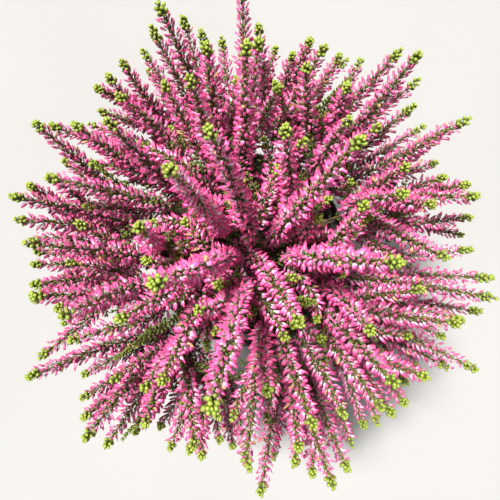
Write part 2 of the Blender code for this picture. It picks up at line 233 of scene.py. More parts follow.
# The dome is in shares of the crown's radius and height, its foot in shares of its radius and heights
CROWN_DOME = ((0.3, 0.98), (0.62, 0.86), (0.86, 0.72))
CROWN_FOOT = ((0.97, 0.006), (0.9, 0.004))
CROWN_SIDES = 36
ROOT_TAPER = 0.006
ROOT_END = 0.6
KNOTS_FROM = 0.003
KNOT_DEPTH = 0.12
KNOT_SCALE = 220
BRANCH_START_RADIUS = 0.0020
BRANCH_END_RADIUS = 0.0010
BRANCH_SIDES = 9

# Small bends in the pot's wall, as steps from a radius and a height, or as shares of the chamfer
POT_SIDES = 128
RIM_POINTS = 9
FLOOR_BEND_START = 0.002
FLOOR_BEND_END = (0.0004, 0.0008)
COLLAR_INSIDE = (0.0006, 0.0015)
COLLAR_EDGE_UPPER = (0.0005, 0.0008)
COLLAR_EDGE_LOWER = (0.0010, 0.0001)
COLLAR_CORNER_OUTER = (0.0005, 0.0004)
COLLAR_CORNER_DROP = 0.0012
CHAMFER_BEND = (0.35, 0.3)
DRAIN_SIDES = 32
SHARP_ANGLE = 38

# Peat, whose radius at the top is the pot's SOIL_EDGE_DROP lower, and the crumbs on it
SOIL_RINGS = 30
SOIL_SIDES = 120
SOIL_EDGE_DROP = 0.002
SOIL_EDGE_BEND = 0.001
SOIL_FOOT_INSET = 0.001
LUMP_HEIGHT = 0.0012
LUMP_SCALE = 160
LUMP_DETAIL = (1.0, 2.1, 4)
LUMP_GAIN = 1.4
LUMP_LIMIT = 1.2
LUMPS_FROM = 0.001
LUMP_MARGIN = 0.0005
CRUMB_COUNT = 650
CRUMB_MARGINS = (0.002, 0.003)
CRUMB_SIZE = (0.0005, 0.0013)
CRUMB_WIDTH = (0.6, 1)
CRUMB_HEIGHT = (0.5, 0.9)
CRUMB_ROUGHNESS = (0.8, 1.15)
CRUMB_LIFT = 0.3
FIBRE_SHARE = 0.2
FIBRE_LENGTH = 2.4

# Camera, floor and light: a light's name, aim, softness, strength and colour
CAMERA_HEIGHT = 0.428
CAMERA_LENS = 34.56
SENSOR_WIDTH = 36
NEAREST_SEEN = 0.01
FLOOR_HALF = 4
SKY_STOPS = (
    (0.0, (0.84, 0.84, 0.83, 1)),
    (0.18, (0.48, 0.49, 0.50, 1)),
    (0.42, (0.05, 0.055, 0.06, 1)),
)
LIGHTS = (
    ("key", (0.42, -0.50, -1.40), 0.18, 9.5, (1.0, 0.98, 0.95)),
    ("fill", (-1.1, 0.8, -0.8), 0.9, 1.2, (0.92, 0.95, 1.0)),
)


# Growth of the routes

def from_crown(azimuth, radius, height):
    return np.array([radius * math.cos(azimuth), radius * math.sin(azimuth), SOIL_TOP + height])


def seen_tip(azimuth, radius, height):
    """A tip of the lists at the top, in radians and metres."""
    return math.radians(azimuth), radius / 1000, height / 1000


def spaced(number, phase, count, draw):
    """The azimuth of one of count shoots in a ring, a little off its even place."""
    return math.tau * (number + phase + draw.uniform(-AZIMUTH_JITTER, AZIMUTH_JITTER)) / count


def arc(start, middle, end):
    """Points about a STEP apart on the quadratic curve from start to end that middle pulls aside."""
    share = np.linspace(0, 1, ARC_SAMPLES)[:, None]
    fine = (1 - share) ** 2 * start + 2 * share * (1 - share) * middle + share**2 * end
    along = np.concatenate([[0], np.cumsum(np.linalg.norm(np.diff(fine, axis=0), axis=1))])
    wanted = np.linspace(0, along[-1], max(2, round(along[-1] / STEP)) + 1)
    return np.stack([np.interp(wanted, along, fine[:, k]) for k in range(3)], axis=1)


def main_axis(kind, azimuth, radius, height):
    """The route of a shoot from the crown to its tip, bowed as its kind says."""
    out, up = KINDS[kind]["bow"]
    start = from_crown(azimuth, KINDS[kind]["start_radius"], BRANCH_START_HEIGHT)
    middle = from_crown(azimuth, out * radius, up * height)
    return arc(start, middle, from_crown(azimuth, radius, height))


def bare_points(kind, main):
    return round(KINDS[kind]["flower_from"] * (len(main) - 1))


def side_axes(kind, number, azimuth, radius, height, main, draw):
    """Routes of the side shoots that fork from a main route."""
    found = []
    for leave, turn, wide, high in FORKS[kind]:
        start = max(round(leave * (len(main) - 1)), FIRST_FORK)
        side = (-1) ** number * math.radians(turn * draw.uniform(*FORK_TURN_SPREAD))
        lift = height * high + draw.uniform(-HEIGHT_JITTER, HEIGHT_JITTER)
        tip = from_crown(azimuth + side, wide * radius, lift)
        ahead = main[start] + FORK_AIM * (main[-1] - main[start])
        middle = 0.5 * (ahead + 0.5 * (main[start] + tip))
        found.append({"points": arc(main[start], middle, tip), "fork": start})
    return found


def plan():
    """Every axis in the plant: its shoot, its kind, its points and where it forks from."""
    draw = random.Random(SEED)
    shoots = [("leader", *seen_tip(*tip)) for tip in LEADERS]
    for i in range(MIDDLE_COUNT):
        azimuth = spaced(i, MIDDLE_PHASE, MIDDLE_COUNT, draw)
        shoots.append(("middle", azimuth, draw.uniform(*MIDDLE_RADIUS), draw.uniform(*MIDDLE_HEIGHT)))
    for i in range(OUTER_COUNT):
        azimuth = spaced(i, OUTER_PHASE, OUTER_COUNT, draw)
        height = OUTER_HEIGHT[i % 2] + draw.uniform(-HEIGHT_JITTER, HEIGHT_JITTER)
        shoots.append(("outer", azimuth, draw.uniform(*OUTER_RADIUS), height))
    shoots += [("leafy", *seen_tip(*tip)) for tip in LEAFY]

    axes = []
    for shoot, (kind, azimuth, radius, height) in enumerate(shoots):
        main = main_axis(kind, azimuth, radius, height)
        parent = len(axes)
        axes.append({"shoot": shoot, "kind": kind, "points": main, "parent": None})
        for side in side_axes(kind, shoot, azimuth, radius, height, main, draw):
            axes.append({"shoot": shoot, "kind": kind, "parent": parent, "main": main, **side})
    return axes


def flower_start(axis):
    """Index of the first point with flowers, or with leaves on a leafy shoot."""
    if axis["parent"] is None:
        return bare_points(axis["kind"], axis["points"])
    return bare_points(axis["kind"], axis["main"]) - axis["fork"]


def reaches(axis):
    """How far the shoot reaches from its route at each point."""
    found = np.full(len(axis["points"]), BARE_ROOM)
    found[flower_start(axis):] = TIP_REACH if axis["kind"] == "leafy" else FLORET_REACH
    found[-1:] = TIP_REACH
    return found


def crowding_pairs(axes, owner, index, reach, points):
    """Pairs of points that may come too near each other: of two shoots, or of one past its fork."""
    shoot = np.array([axis["shoot"] for axis in axes])[owner]
    is_side = np.array([axis["parent"] is not None for axis in axes])[owner]
    first, second = np.triu_indices(len(points), 1)
    near = np.linalg.norm(points[first] - points[second], axis=1) < CROWDING_RANGE
    first, second = first[near], second[near]
    in_crown = ~is_side & (index < CROWN_POINTS)
    bare = reach < TIP_REACH
    apart = (owner[first] != owner[second]) & ~(in_crown[first] | in_crown[second])
    kin = (shoot[first] == shoot[second]) & (bare[first] | bare[second])
    return first[apart & ~kin], second[apart & ~kin]


def push_apart(points, first, second, need, freedom):
    """Moves the pairs of points that are nearer than they need to be, half of the way each."""
    apart = points[first] - points[second]
    distance = np.maximum(np.linalg.norm(apart, axis=1), LEAST_DISTANCE)
    short = np.maximum(need - distance, 0) / distance
    push = np.zeros_like(points)
    np.add.at(push, first, 0.5 * short[:, None] * apart)
    np.add.at(push, second, -0.5 * short[:, None] * apart)
    points += freedom[:, None] * push


def lift_over_rim(points, reach):
    radius = np.hypot(points[:, 0], points[:, 1])
    past = POT_TOP_RADIUS + FLORET_REACH + STEP / 2
    over = (radius > POT_TOP_RADIUS - RIM_ZONE) & (radius < past)
    points[over, 2] = np.maximum(points[over, 2], POT_HEIGHT + RIM_CLEARANCE + reach[over])


def crowd(axes):
    """Pushes the routes aside where florets would meet and evens them out, less so in later rounds."""
    owner = np.concatenate([np.full(len(a["points"]), i) for i, a in enumerate(axes)])
    index = np.concatenate([np.arange(len(a["points"])) for a in axes])
    reach = np.concatenate([reaches(a) for a in axes])
    points = np.concatenate([a["points"] for a in axes])
    starts = np.concatenate([[0], np.cumsum([len(a["points"]) for a in axes])])
    first, second = crowding_pairs(axes, owner, index, reach, points)
    need = reach[first] + reach[second] + CLEARANCE
    freedom = np.clip((index - 0.5) / STIFF_POINTS, 0, 1)
    for turn in range(CROWDING_ROUNDS):
        evening = EVENING * (1 - EVENING_FALL * turn / CROWDING_ROUNDS)
        push_apart(points, first, second, need, freedom)
        lift_over_rim(points, reach)
        for i, axis in enumerate(axes):
            here = points[starts[i]:starts[i + 1]]
            here[1:-1] += evening * (here[:-2] + here[2:] - 2 * here[1:-1])
            if axis["parent"] is not None:
                here[0] = points[starts[axis["parent"]] + axis["fork"]]
    for i, axis in enumerate(axes):
        axis["points"] = points[starts[i]:starts[i + 1]].copy()
    return axes


# Small forms, made once and copied along the routes

def unit(vectors):
    return vectors / np.maximum(np.linalg.norm(vectors, axis=-1, keepdims=True), NO_LENGTH)


def ring_faces(sides, rings):
    """Triangles of a closed form: a foot point, rings of so many sides, and a tip point."""
    faces = []
    tip = 1 + sides * rings
    for i in range(sides):
        after = (i + 1) % sides
        faces.append((0, 1 + after, 1 + i))
        for ring in range(rings - 1):
            low = 1 + sides * ring
            high = low + sides
            faces.append((low + i, low + after, high + after))
            faces.append((low + i, high + after, high + i))
        faces.append((tip - sides + i, tip - sides + after, tip))
    return np.array(faces)


def floret_form(openness):
    """A bud of unit length and width that stands on its foot; openness spreads its ridged sepals."""
    sides = OPEN_BUD_SIDES if openness else CLOSED_BUD_SIDES
    points = [(0, 0, 0)]
    for number, (height, radius) in enumerate(BUD_RINGS):
        for i in range(sides):
            part = BUD_GROOVE if i % 2 else BUD_RIDGE
            wide, high = radius * part["wide"], height
            is_upper = number > 0
            if is_upper:
                wide *= 1 + openness * part["opens"]
                high += openness * part["rises"] + part["high"]
            angle = math.tau * i / sides
            points.append((wide * math.cos(angle), wide * math.sin(angle), high))
    points.append((0, 0, 1 - BUD_TIP_SINKS * openness))
    return np.array(points), ring_faces(sides, len(BUD_RINGS))


def leaf_form(sides, rings, fullness, curl):
    """A leaf or knob of unit length, with rings of (height, width), that curls up towards its tip."""
    points = [(0, 0, 0)]
    for height, width in rings:
        for i in range(sides):
            angle = math.tau * (i + 0.5) / sides - math.pi / 2
            bend = curl * (height**2 - height)
            points.append((width * math.cos(angle), fullness * width * math.sin(angle) + bend, height))
    points.append((0, 0, 1))
    return np.array(points), ring_faces(sides, len(rings))


FLORET_FORMS = [floret_form(openness) for openness in OPENNESS]
LEAF = leaf_form(sides=4, rings=((0.42, 0.19),), fullness=0.8, curl=0.4)
KNOB = leaf_form(sides=5, rings=((0.28, 0.24), (0.70, 0.30)), fullness=0.95, curl=0.1)

# Whorls to the metre, leaf length, and how young leaves are where a stretch starts and ends
FOLIAGE = {
    "tip": {"whorls": 580, "length": 0.0031, "youth": (0.5, 0.95), "form": KNOB},
    "leafy": {"whorls": 620, "length": 0.0038, "youth": (0.05, 0.55), "form": LEAF},
    "flowering": {"whorls": 420, "length": 0.0038, "youth": (0.0, 0.4), "form": LEAF},
    "bare": {"whorls": 420, "length": 0.0038, "youth": (0.0, 0.15), "form": LEAF},
    "twig": {"whorls": 380, "length": 0.0038, "youth": (0.0, 0.35), "form": LEAF},
}


class Form:
    """Points, triangles and tints gathered into one mesh."""

    def __init__(self):
        self.points = []
        self.faces = []
        self.tints = []
        self.count = 0

    def add(self, points, faces, tints=None):
        """Adds points, triangles among them, and tints, which are plain zeros where none are given."""
        self.points.append(points)
        self.faces.append(faces + self.count)
        self.tints.append(np.zeros((len(points), 4)) if tints is None else tints)
        self.count += len(points)

    def scatter(self, form, places, frames, sizes, tints):
        """Adds a copy of form at each place; the tints' first channel is the height in the form."""
        shape, faces = form
        local = shape[None] * sizes[:, None, :]
        points = np.einsum("kij,kmj->kmi", frames, local) + places[:, None]
        number, corners = points.shape[:2]
        shades = np.repeat(tints[:, None], corners, axis=1)
        shades[:, :, 0] = shape[None, :, 2]
        steps = np.arange(number)[:, None, None] * corners
        self.add(points.reshape(-1, 3), (faces[None] + steps).reshape(-1, 3), shades.reshape(-1, 4))

    def piece(self, name, material, slot, node):
        """The mesh as an object that rides on the plant and stands for a CAD node."""
        points, faces = np.concatenate(self.points), np.concatenate(self.faces)
        mesh = bpy.data.meshes.new(name)
        mesh.vertices.add(len(points))
        mesh.vertices.foreach_set("co", points.astype(np.float32).ravel())
        mesh.loops.add(3 * len(faces))
        mesh.loops.foreach_set("vertex_index", faces.astype(np.int32).ravel())
        mesh.polygons.add(len(faces))
        mesh.polygons.foreach_set("loop_start", np.arange(0, 3 * len(faces), 3, dtype=np.int32))
        mesh.update(calc_edges=True)
        mesh.shade_smooth()
        mesh.materials.append(material)
        shades = mesh.attributes.new("tint", "FLOAT_COLOR", "POINT")
        shades.data.foreach_set("color", np.concatenate(self.tints).astype(np.float32).ravel())
        made = bpy.data.objects.new(name, mesh)
        bpy.context.scene.collection.objects.link(made)
        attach(made, "root")
        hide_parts(node)
        return made


# Routes as smooth curves

def on_route(points, where):
    """Places and directions on the smooth curve through points, at the fractional indices where."""
    ends = np.vstack([2 * points[0] - points[1], points, 2 * points[-1] - points[-2]])
    index = np.clip(where.astype(int), 0, len(points) - 2)
    t = (where - index)[:, None]
    a, b, c, d = (ends[index + k] for k in range(4))
    bend, twist = 2 * a - 5 * b + 4 * c - d, 3 * b - a - 3 * c + d
    places = 0.5 * (2 * b + (c - a) * t + bend * t**2 + twist * t**3)
    return places, unit((c - a) + 2 * bend * t + 3 * twist * t**2)


def across_route(points, ahead):
    """Two directions square to each direction ahead, the first level or nearly so."""
    chord = points[-1] - points[0]
    level = np.array([-chord[1], chord[0], 0.0])
    if np.linalg.norm(level) < UPRIGHT:
        level = np.array([1.0, 0.0, 0.0])
    side = unit(level - (ahead @ level)[:, None] * ahead)
    return side, np.cross(ahead, side)


def around_route(points, where, angle):
    """Places on a route, its directions there, and the directions out of it at each angle."""
    places, ahead = on_route(points, where)
    side, up = across_route(points, ahead)
    return places, ahead, np.cos(angle)[:, None] * side + np.sin(angle)[:, None] * up


def stretch(points, start, end, per_metre, draw):
    """Spots between two indices of a route, so many to the metre, a little unevenly apart."""
    step = np.linalg.norm(np.diff(points, axis=0), axis=1).mean()
    count = max(2, round((end - start) * step * per_metre))
    share = (np.arange(count) + 0.5 + draw.uniform(-UNEVENNESS, UNEVENNESS, count)) / count
    return start + share * (end - start), share


def tube(form, points, start, end, radii, sides):
    """A stem along part of a route, its radius running between two values and its tint along it."""
    count = max(2, round(RINGS_PER_POINT * (end - start))) + 1
    share = np.linspace(0, 1, count)
    places, ahead = on_route(points, start + share * (end - start))
    side, up = across_route(points, ahead)
    angles = (np.arange(sides) * math.tau / sides)[None, :, None]
    radius = (radii[0] + (radii[1] - radii[0]) * share)[:, None, None]
    rings = places[:, None] + radius * (side[:, None] * np.cos(angles) + up[:, None] * np.sin(angles))
    corners = np.vstack([places[:1], rings.reshape(-1, 3), places[-1:]])
    shades = np.zeros((len(corners), 4))
    shades[:, 0] = np.concatenate([[0], np.repeat(share, sides), [1]])
    form.add(corners, ring_faces(sides, count), shades)


def frames_of(out, ahead, lean, roll):
    """Frames whose Z points out and leans ahead, turned about Z by roll; Y looks to the stem's tip."""
    stand = unit(np.cos(lean)[:, None] * out + np.sin(lean)[:, None] * ahead)
    inward = unit(ahead - (ahead * stand).sum(1, keepdims=True) * stand)
    side = np.cross(inward, stand)
    turned_side = np.cos(roll)[:, None] * side + np.sin(roll)[:, None] * inward
    turned_in = np.cos(roll)[:, None] * inward - np.sin(roll)[:, None] * side
    return np.stack([turned_side, turned_in, stand], axis=2)


# Florets and leaves on a route

def add_florets(florets, points, start, end, vigour_and_shade, draw):
    """Buds in a spiral between two indices."""
    where, share = stretch(points, start, end, FLORETS_PER_METRE, draw)
    count = len(where)
    angle = np.arange(count) * GOLDEN_TURN + draw.uniform(-FLORET_TURN_SPREAD, FLORET_TURN_SPREAD, count)
    places, ahead, out = around_route(points, where, angle + draw.uniform(*FIRST_TURN))
    size = np.interp(share, *FLORET_GROWTH) * draw.uniform(*FLORET_SIZE_SPREAD, count)
    lean = np.interp(share, *FLORET_LEAN) + draw.normal(0, FLORET_LEAN_SPREAD, count)
    length = FLORET_LENGTH * size
    width = FLORET_WIDTH * size * draw.uniform(*FLORET_WIDTH_SPREAD, count)
    sizes = np.stack([width, width, length], axis=1)
    frames = frames_of(out, ahead, lean, draw.uniform(0, math.tau, count))
    # Real fading and painted shade: florets low on the route, deep in the plant, turn more mauve
    fade_and_shade = draw.normal(FADED_MEAN, FADED_SPREAD, count) + FADED_BY_WEAKNESS * (1 - vigour_and_shade)
    fade_and_shade = np.clip(fade_and_shade - FRESH_AND_LIT_TOWARDS_TIP * share, 0, FADED_MOST)
    fade_and_shade[draw.random(count) < STRAW_SHARE + STRAW_BY_WEAKNESS * (1 - vigour_and_shade)] = 1
    # The last channel carries the shoot's vigour, which the floret material turns into painted shade and
    # light
    tints = np.stack([np.zeros(count), draw.random(count), fade_and_shade, np.full(count, vigour_and_shade)], axis=1)
    opened = draw.integers(0, 2 * len(FLORET_FORMS), count) // 2
    opened[draw.random(count) < CLOSED_SHARE] = 0
    feet = places + (size * draw.uniform(*FLORET_FOOT, count))[:, None] * out
    for number, form in enumerate(FLORET_FORMS):
        chosen = opened == number
        if chosen.any():
            florets.scatter(form, feet[chosen], frames[chosen], sizes[chosen], tints[chosen])


def add_leaves(greens, points, start, end, foliage, draw):
    """Whorls of scale leaves or knobs, alternate whorls turned by half a leaf."""
    leaves = FOLIAGE[foliage]
    where, share = stretch(points, start, end, leaves["whorls"], draw)
    where, share = np.repeat(where, LEAVES_IN_WHORL), np.repeat(share, LEAVES_IN_WHORL)
    count = len(where)
    whorl = np.arange(count) // LEAVES_IN_WHORL
    angle = (np.arange(count) % LEAVES_IN_WHORL + 0.5 * (whorl % 2)) * math.tau / LEAVES_IN_WHORL
    angle += draw.uniform(-LEAF_TURN_SPREAD, LEAF_TURN_SPREAD, count) + WHORL_TWIST * whorl
    places, ahead, out = around_route(points, where, angle)
    growth = np.interp(share, *LEAF_GROWTH)
    sizes = leaves["length"] * growth * draw.uniform(*LEAF_SIZE_SPREAD, count)
    lean = np.interp(share, *LEAF_LEAN) + draw.normal(0, LEAF_LEAN_SPREAD, count)
    frames = frames_of(out, ahead, lean, draw.normal(0, LEAF_ROLL_SPREAD, count))
    first, last = leaves["youth"]
    young = np.clip(first + (last - first) * share + draw.normal(0, YOUTH_SPREAD, count), 0, 1)
    tints = np.stack([np.zeros(count), draw.random(count), young, np.ones(count)], axis=1)
    feet = places + 0.5 * STEM_RADIUS * out
    greens.scatter(leaves["form"], feet, frames, np.repeat(sizes[:, None], 3, axis=1), tints)


# Materials

def srgb(red, green, blue):
    """A colour in linear light from its usual 0 to 255 values."""
    values = [v / 255 for v in (red, green, blue)]
    return (*[v / 12.92 if v <= 0.04045 else ((v + 0.055) / 1.055) ** 2.4 for v in values], 1)


class Nodes:
    """Short ways to add shader nodes to a material."""

    def __init__(self, name, roughness):
        self.material = bpy.data.materials.new(name)
        self.material.use_nodes = True
        self.tree = self.material.node_tree
        self.shader = self.tree.nodes["Principled BSDF"]
        self.set("Roughness", roughness)
        self.set("Metallic", 0)

    def put(self, socket, value):
        """Links a socket to another one, or gives it a plain value."""
        if isinstance(value, bpy.types.NodeSocket):
            self.tree.links.new(value, socket)
        else:
            socket.default_value = value

    def set(self, name, value):
        self.put(self.shader.inputs[name], value)

    def add(self, kind, inputs, **settings):
        node = self.tree.nodes.new("ShaderNode" + kind)
        for key, value in settings.items():
            setattr(node, key, value)
        for key, value in inputs.items():
            self.put(node.inputs[key], value)
        return node

    def tint(self):
        """The four channels of the mesh's tint."""
        attribute = self.add("Attribute", {}, attribute_name="tint")
        split = self.add("SeparateColor", {"Color": attribute.outputs["Color"]})
        return (*[split.outputs[k] for k in ("Red", "Green", "Blue")], attribute.outputs["Alpha"])

    def ramp(self, source, *stops):
        """A colour that runs through stops of (place, red, green, blue)."""
        node = self.add("ValToRGB", {"Fac": source})
        band = node.color_ramp
        while len(band.elements) < len(stops):
            band.elements.new(0.5)
        for element, (place, *colour) in zip(band.elements, stops):
            element.position = place
            element.color = srgb(*colour)
        return node.outputs["Color"]

    def mix(self, share, first, second):
        """Two colours mixed; the node's sockets for colours are told apart by number only."""
        node = self.add("Mix", {}, data_type="RGBA")
        factor, colour_a, colour_b = (node.inputs[k] for k in (0, 6, 7))
        self.put(factor, share)
        self.put(colour_a, first)
        self.put(colour_b, second)
        return node.outputs[2]

    def spread(self, source, low, high, to_low=0.0, to_high=1.0):
        """A value moved from one range to another, and kept within it."""
        ranges = {"From Min": low, "From Max": high, "To Min": to_low, "To Max": to_high}
        return self.add("MapRange", {"Value": source, **ranges}).outputs["Result"]

    def combine(self, operation, first, second, clamped=True):
        return self.add("Math", {0: first, 1: second}, operation=operation, use_clamp=clamped).outputs[0]

    def noise(self, scale, detail=3.0, roughness=0.55, stretched=None):
        place = self.add("TexCoord", {}).outputs["Object"]
        if stretched:
            place = self.add("Mapping", {"Vector": place, "Scale": stretched}).outputs["Vector"]
        settings = {"Vector": place, "Scale": scale, "Detail": detail, "Roughness": roughness}
        return self.add("TexNoise", settings).outputs["Fac"]

    def shaded(self, colour, value):
        """A colour made darker or lighter by a value around 1."""
        return self.add("HueSaturation", {"Color": colour, "Value": value}).outputs["Color"]

    def bump(self, source, height, strength=1.0):
        node = self.add("Bump", {"Height": source, "Strength": strength, "Distance": height})
        self.set("Normal", node.outputs["Normal"])


def floret_material():
    """Sepals: pale at the foot, bright pink above and crimson at the tip; old ones mauve or straw. The
    mauve also paints shade on the lower florets, and the florets of outer shoots are darkened and the
    leaders' lightened as painted shade and light.
    """
    made = Nodes("floret_pink", 0.42)
    along, chance, fade_and_shade, vigour_and_shade = made.tint()
    veins = made.noise(900, 2, 0.6, (1, 1, 0.35))
    bright = made.ramp(along, (0.0, 236, 228, 229), (0.34, 236, 215, 224), (0.52, 236, 130, 179),
                       (0.74, 233, 81, 148), (0.90, 222, 46, 104), (1.0, 191, 24, 68))
    deep = made.ramp(along, (0.0, 231, 209, 218), (0.3, 222, 137, 179), (0.7, 209, 68, 135),
                     (1.0, 163, 31, 85))
    faded_and_shaded_mauve = made.ramp(along, (0.0, 215, 192, 205), (0.5, 184, 94, 144), (1.0, 134, 50, 96))
    straw = made.ramp(along, (0.0, 218, 198, 166), (0.6, 198, 152, 113), (1.0, 152, 92, 61))
    sepal = made.mix(made.spread(chance, 0.35, 1.0), bright, deep)
    # Mauve for real fading and for painted shade on the lower florets
    sepal = made.mix(made.spread(fade_and_shade, 0.3, 0.75), sepal, faded_and_shaded_mauve)
    sepal = made.mix(made.spread(fade_and_shade, 0.9, 0.95), sepal, straw)
    mottled = made.spread(veins, 0.3, 0.7, 0.80, 1.10)
    # Painted shade and light by shoot kind: outer shoots' florets darker, leaders' florets lighter
    painted_shade_by_kind = made.spread(vigour_and_shade, 0.65, 1.0, 0.82, 1.08)
    made.set("Base Color", made.shaded(sepal, made.combine("MULTIPLY", mottled, painted_shade_by_kind, clamped=False)))
    made.set("Roughness", made.spread(veins, 0, 1, 0.30, 0.50))
    made.set("Subsurface Weight", 0.06)
    made.set("Subsurface Radius", (0.0016, 0.0006, 0.0008))
    made.set("Subsurface Scale", 1.0)
    made.bump(veins, 0.0004, 0.5)
    return made.material


def green_material():
    """Scale leaves from bright yellow-green to dark green, and the brown-green stems they sit on."""
    made = Nodes("leaf_green", 0.45)
    along, chance, youth, is_leaf = made.tint()
    grain = made.noise(1400, 3, 0.6)
    young = made.ramp(along, (0.0, 66, 88, 20), (0.45, 116, 138, 34), (1.0, 160, 174, 66))
    old = made.ramp(along, (0.0, 26, 40, 14), (0.5, 46, 68, 20), (1.0, 84, 108, 38))
    leaf = made.mix(youth, old, young)
    leaf = made.mix(made.spread(chance, 0.82, 1.0, 0, 0.5), leaf, srgb(120, 96, 40))
    stem = made.mix(grain, srgb(62, 44, 30), srgb(120, 98, 52))
    mottled = made.spread(grain, 0.3, 0.7, 0.78, 1.16)
    made.set("Base Color", made.shaded(made.mix(is_leaf, stem, leaf), mottled))
    made.set("Roughness", made.spread(grain, 0, 1, 0.36, 0.6))
    made.bump(grain, 0.0003, 0.5)
    return made.material


def bark_material():
    """Grey-brown bark, flaking in strips along the stems."""
    made = Nodes("bark", 0.85)
    strips = made.noise(700, 5, 0.65, (1, 1, 0.22))
    patches = made.noise(120)
    brown = made.ramp(strips, (0.28, 38, 26, 18), (0.5, 84, 62, 44), (0.72, 132, 110, 86))
    grey = made.mix(patches, brown, srgb(104, 92, 78))
    made.set("Base Color", made.mix(0.55, brown, grey))
    made.set("Roughness", made.spread(strips, 0, 1, 0.7, 0.95))
    made.bump(strips, 0.0011)
    return made.material


def peat_material():
    """Damp peat, nearly black, with lighter fibres and crumbs."""
    made = Nodes("peat", 0.95)
    _, chance, is_crumb, _ = made.tint()
    grains = made.noise(650, 6, 0.7)
    patches = made.noise(70)
    dark = made.ramp(grains, (0.3, 24, 17, 12), (0.55, 52, 37, 26), (0.75, 92, 68, 46))
    damp = made.mix(patches, dark, srgb(34, 25, 18))
    crumb = made.ramp(chance, (0.0, 30, 22, 16), (0.6, 70, 50, 34), (1.0, 128, 98, 66))
    made.set("Base Color", made.mix(made.combine("MULTIPLY", is_crumb, 0.7), damp, crumb))
    made.set("Roughness", made.spread(grains, 0, 1, 0.82, 1.0))
    made.bump(grains, 0.0016)
    return made.material


def plastic_material():
    """Dull black moulded plastic, finely grained, with a film of dry dust in patches."""
    made = Nodes("pot_plastic", 0.45)
    grain = made.noise(2600, 2)
    scuffs = made.noise(90, 6, 0.75, (1, 1, 0.55))
    dust = made.ramp(scuffs, (0.46, 0, 0, 0), (0.74, 255, 255, 255))
    plastic = made.mix(grain, srgb(36, 38, 40), srgb(54, 56, 58))
    made.set("Base Color", made.mix(made.spread(dust, 0, 1, 0, 0.34), plastic, srgb(118, 114, 106)))
    dull = made.combine("ADD", grain, made.combine("MULTIPLY", dust, 0.4))
    made.set("Roughness", made.spread(dull, 0, 1, 0.36, 0.72))
    made.bump(made.combine("ADD", grain, made.combine("MULTIPLY", scuffs, 0.3)), 0.00025, 0.6)
    return made.material


def floor_material():
    """A pale matt floor with faint clouds."""
    made = Nodes("studio_floor", 0.9)
    made.set("Base Color", made.ramp(made.noise(3, 2), (0.3, 146, 145, 144), (0.7, 152, 151, 150)))
    return made.material


# Plant

def add_stem(greens, points, start, end):
    """The green or woody stem that a stretch of florets or leaves sits on."""
    tube(greens, points, start, end, [STEM_RADIUS * share for share in STEM_TAPER], STEM_SIDES)


def add_tip(greens, points, draw):
    """The knot of round green buds at a shoot's end."""
    last = len(points) - 1
    add_leaves(greens, points, last - TIP_SPAN, last, "tip", draw)


def add_flowering(florets, greens, axis, start, draw):
    """The stem, old leaves and florets of one axis, with small leaves among the florets."""
    points, flowers = axis["points"], flower_start(axis)
    last = len(points) - 1
    add_stem(greens, points, start, last)
    add_leaves(greens, points, start, flowers, "bare", draw)
    add_florets(florets, points, flowers - EARLY_FLOWERS, last - TIP_SPAN, VIGOUR_AND_SHADE[axis["kind"]], draw)
    add_leaves(greens, points, flowers, last - TIP_SPAN, "flowering", draw)


def add_twigs(greens, axis, draw):
    """Short leafy twigs that fill the gaps between the feet of the flower spikes."""
    for where in flower_start(axis) + draw.uniform(*TWIG_ZONE, TWIG_COUNT):
        place, ahead = on_route(axis["points"], np.array([where]))
        side, up = across_route(axis["points"], ahead)
        turn = draw.uniform(*TWIG_TURN)
        out = draw.choice((-1, 1)) * math.cos(turn) * side + math.sin(turn) * up
        along = draw.uniform(*TWIG_LENGTH) * np.linspace(0, 1, TWIG_POINTS)[:, None]
        twig = place + along * unit(TWIG_OUT * out + TWIG_AHEAD * ahead)
        twig[:, 2] = np.maximum(twig[:, 2], POT_HEIGHT + 2 * RIM_CLEARANCE)
        tube(greens, twig, 0, TWIG_STEM_TO, (STEM_RADIUS, 0.5 * STEM_RADIUS), TWIG_SIDES)
        add_leaves(greens, twig, TWIG_LEAVES_FROM, TWIG_POINTS - 1, "twig", draw)


def leafy_shoot(label, points, start, green, draw):
    """The piece of a shoot that has no flowers."""
    last = len(points) - 1
    greens = Form()
    add_stem(greens, points, start, last)
    add_leaves(greens, points, start, last, "leafy", draw)
    greens.piece(label + "_leaves", green, "leaf_green", label + "_shoot")


def spray(label, axis, start, sides, floret, green, draw):
    """The florets and the green of a flowering shoot; a leader's tip is a piece of its own."""
    is_leader = axis["kind"] == "leader"
    florets, greens = Form(), Form()
    tip = Form() if is_leader else greens
    add_flowering(florets, greens, axis, start, draw)
    add_tip(tip, axis["points"], draw)
    if is_leader:
        tip.piece(label + "_tip_leaves", green, "leaf_green", label + "_leaf_tip")
    for side in sides:
        add_flowering(florets, greens, side, 0, draw)
        add_tip(greens, side["points"], draw)
        add_twigs(greens, side, draw)
    florets.piece(label + "_florets", floret, "floret_pink", label + "_spray")
    greens.piece(label + "_greens", green, "leaf_green", label + "_spray")


def grow(axes, floret, green):
    """Makes the pieces of every shoot and returns the routes of the woody branches."""
    draw = np.random.default_rng(SEED)
    counts = Counter()
    branches = []
    for number, axis in enumerate(axes):
        if axis["parent"] is not None:
            continue
        kind = axis["kind"]
        counts[kind] += 1
        label = f"{kind}_{counts[kind]:02d}"
        sides = [a for a in axes if a["parent"] == number]
        start = min([side["fork"] - 1 for side in sides], default=flower_start(axis))
        branches.append((axis["points"], start))
        if kind == "leafy":
            leafy_shoot(label, axis["points"], start, green, draw)
        else:
            spray(label, axis, start, sides, floret, green, draw)
    return branches


# Woody base, soil and pot

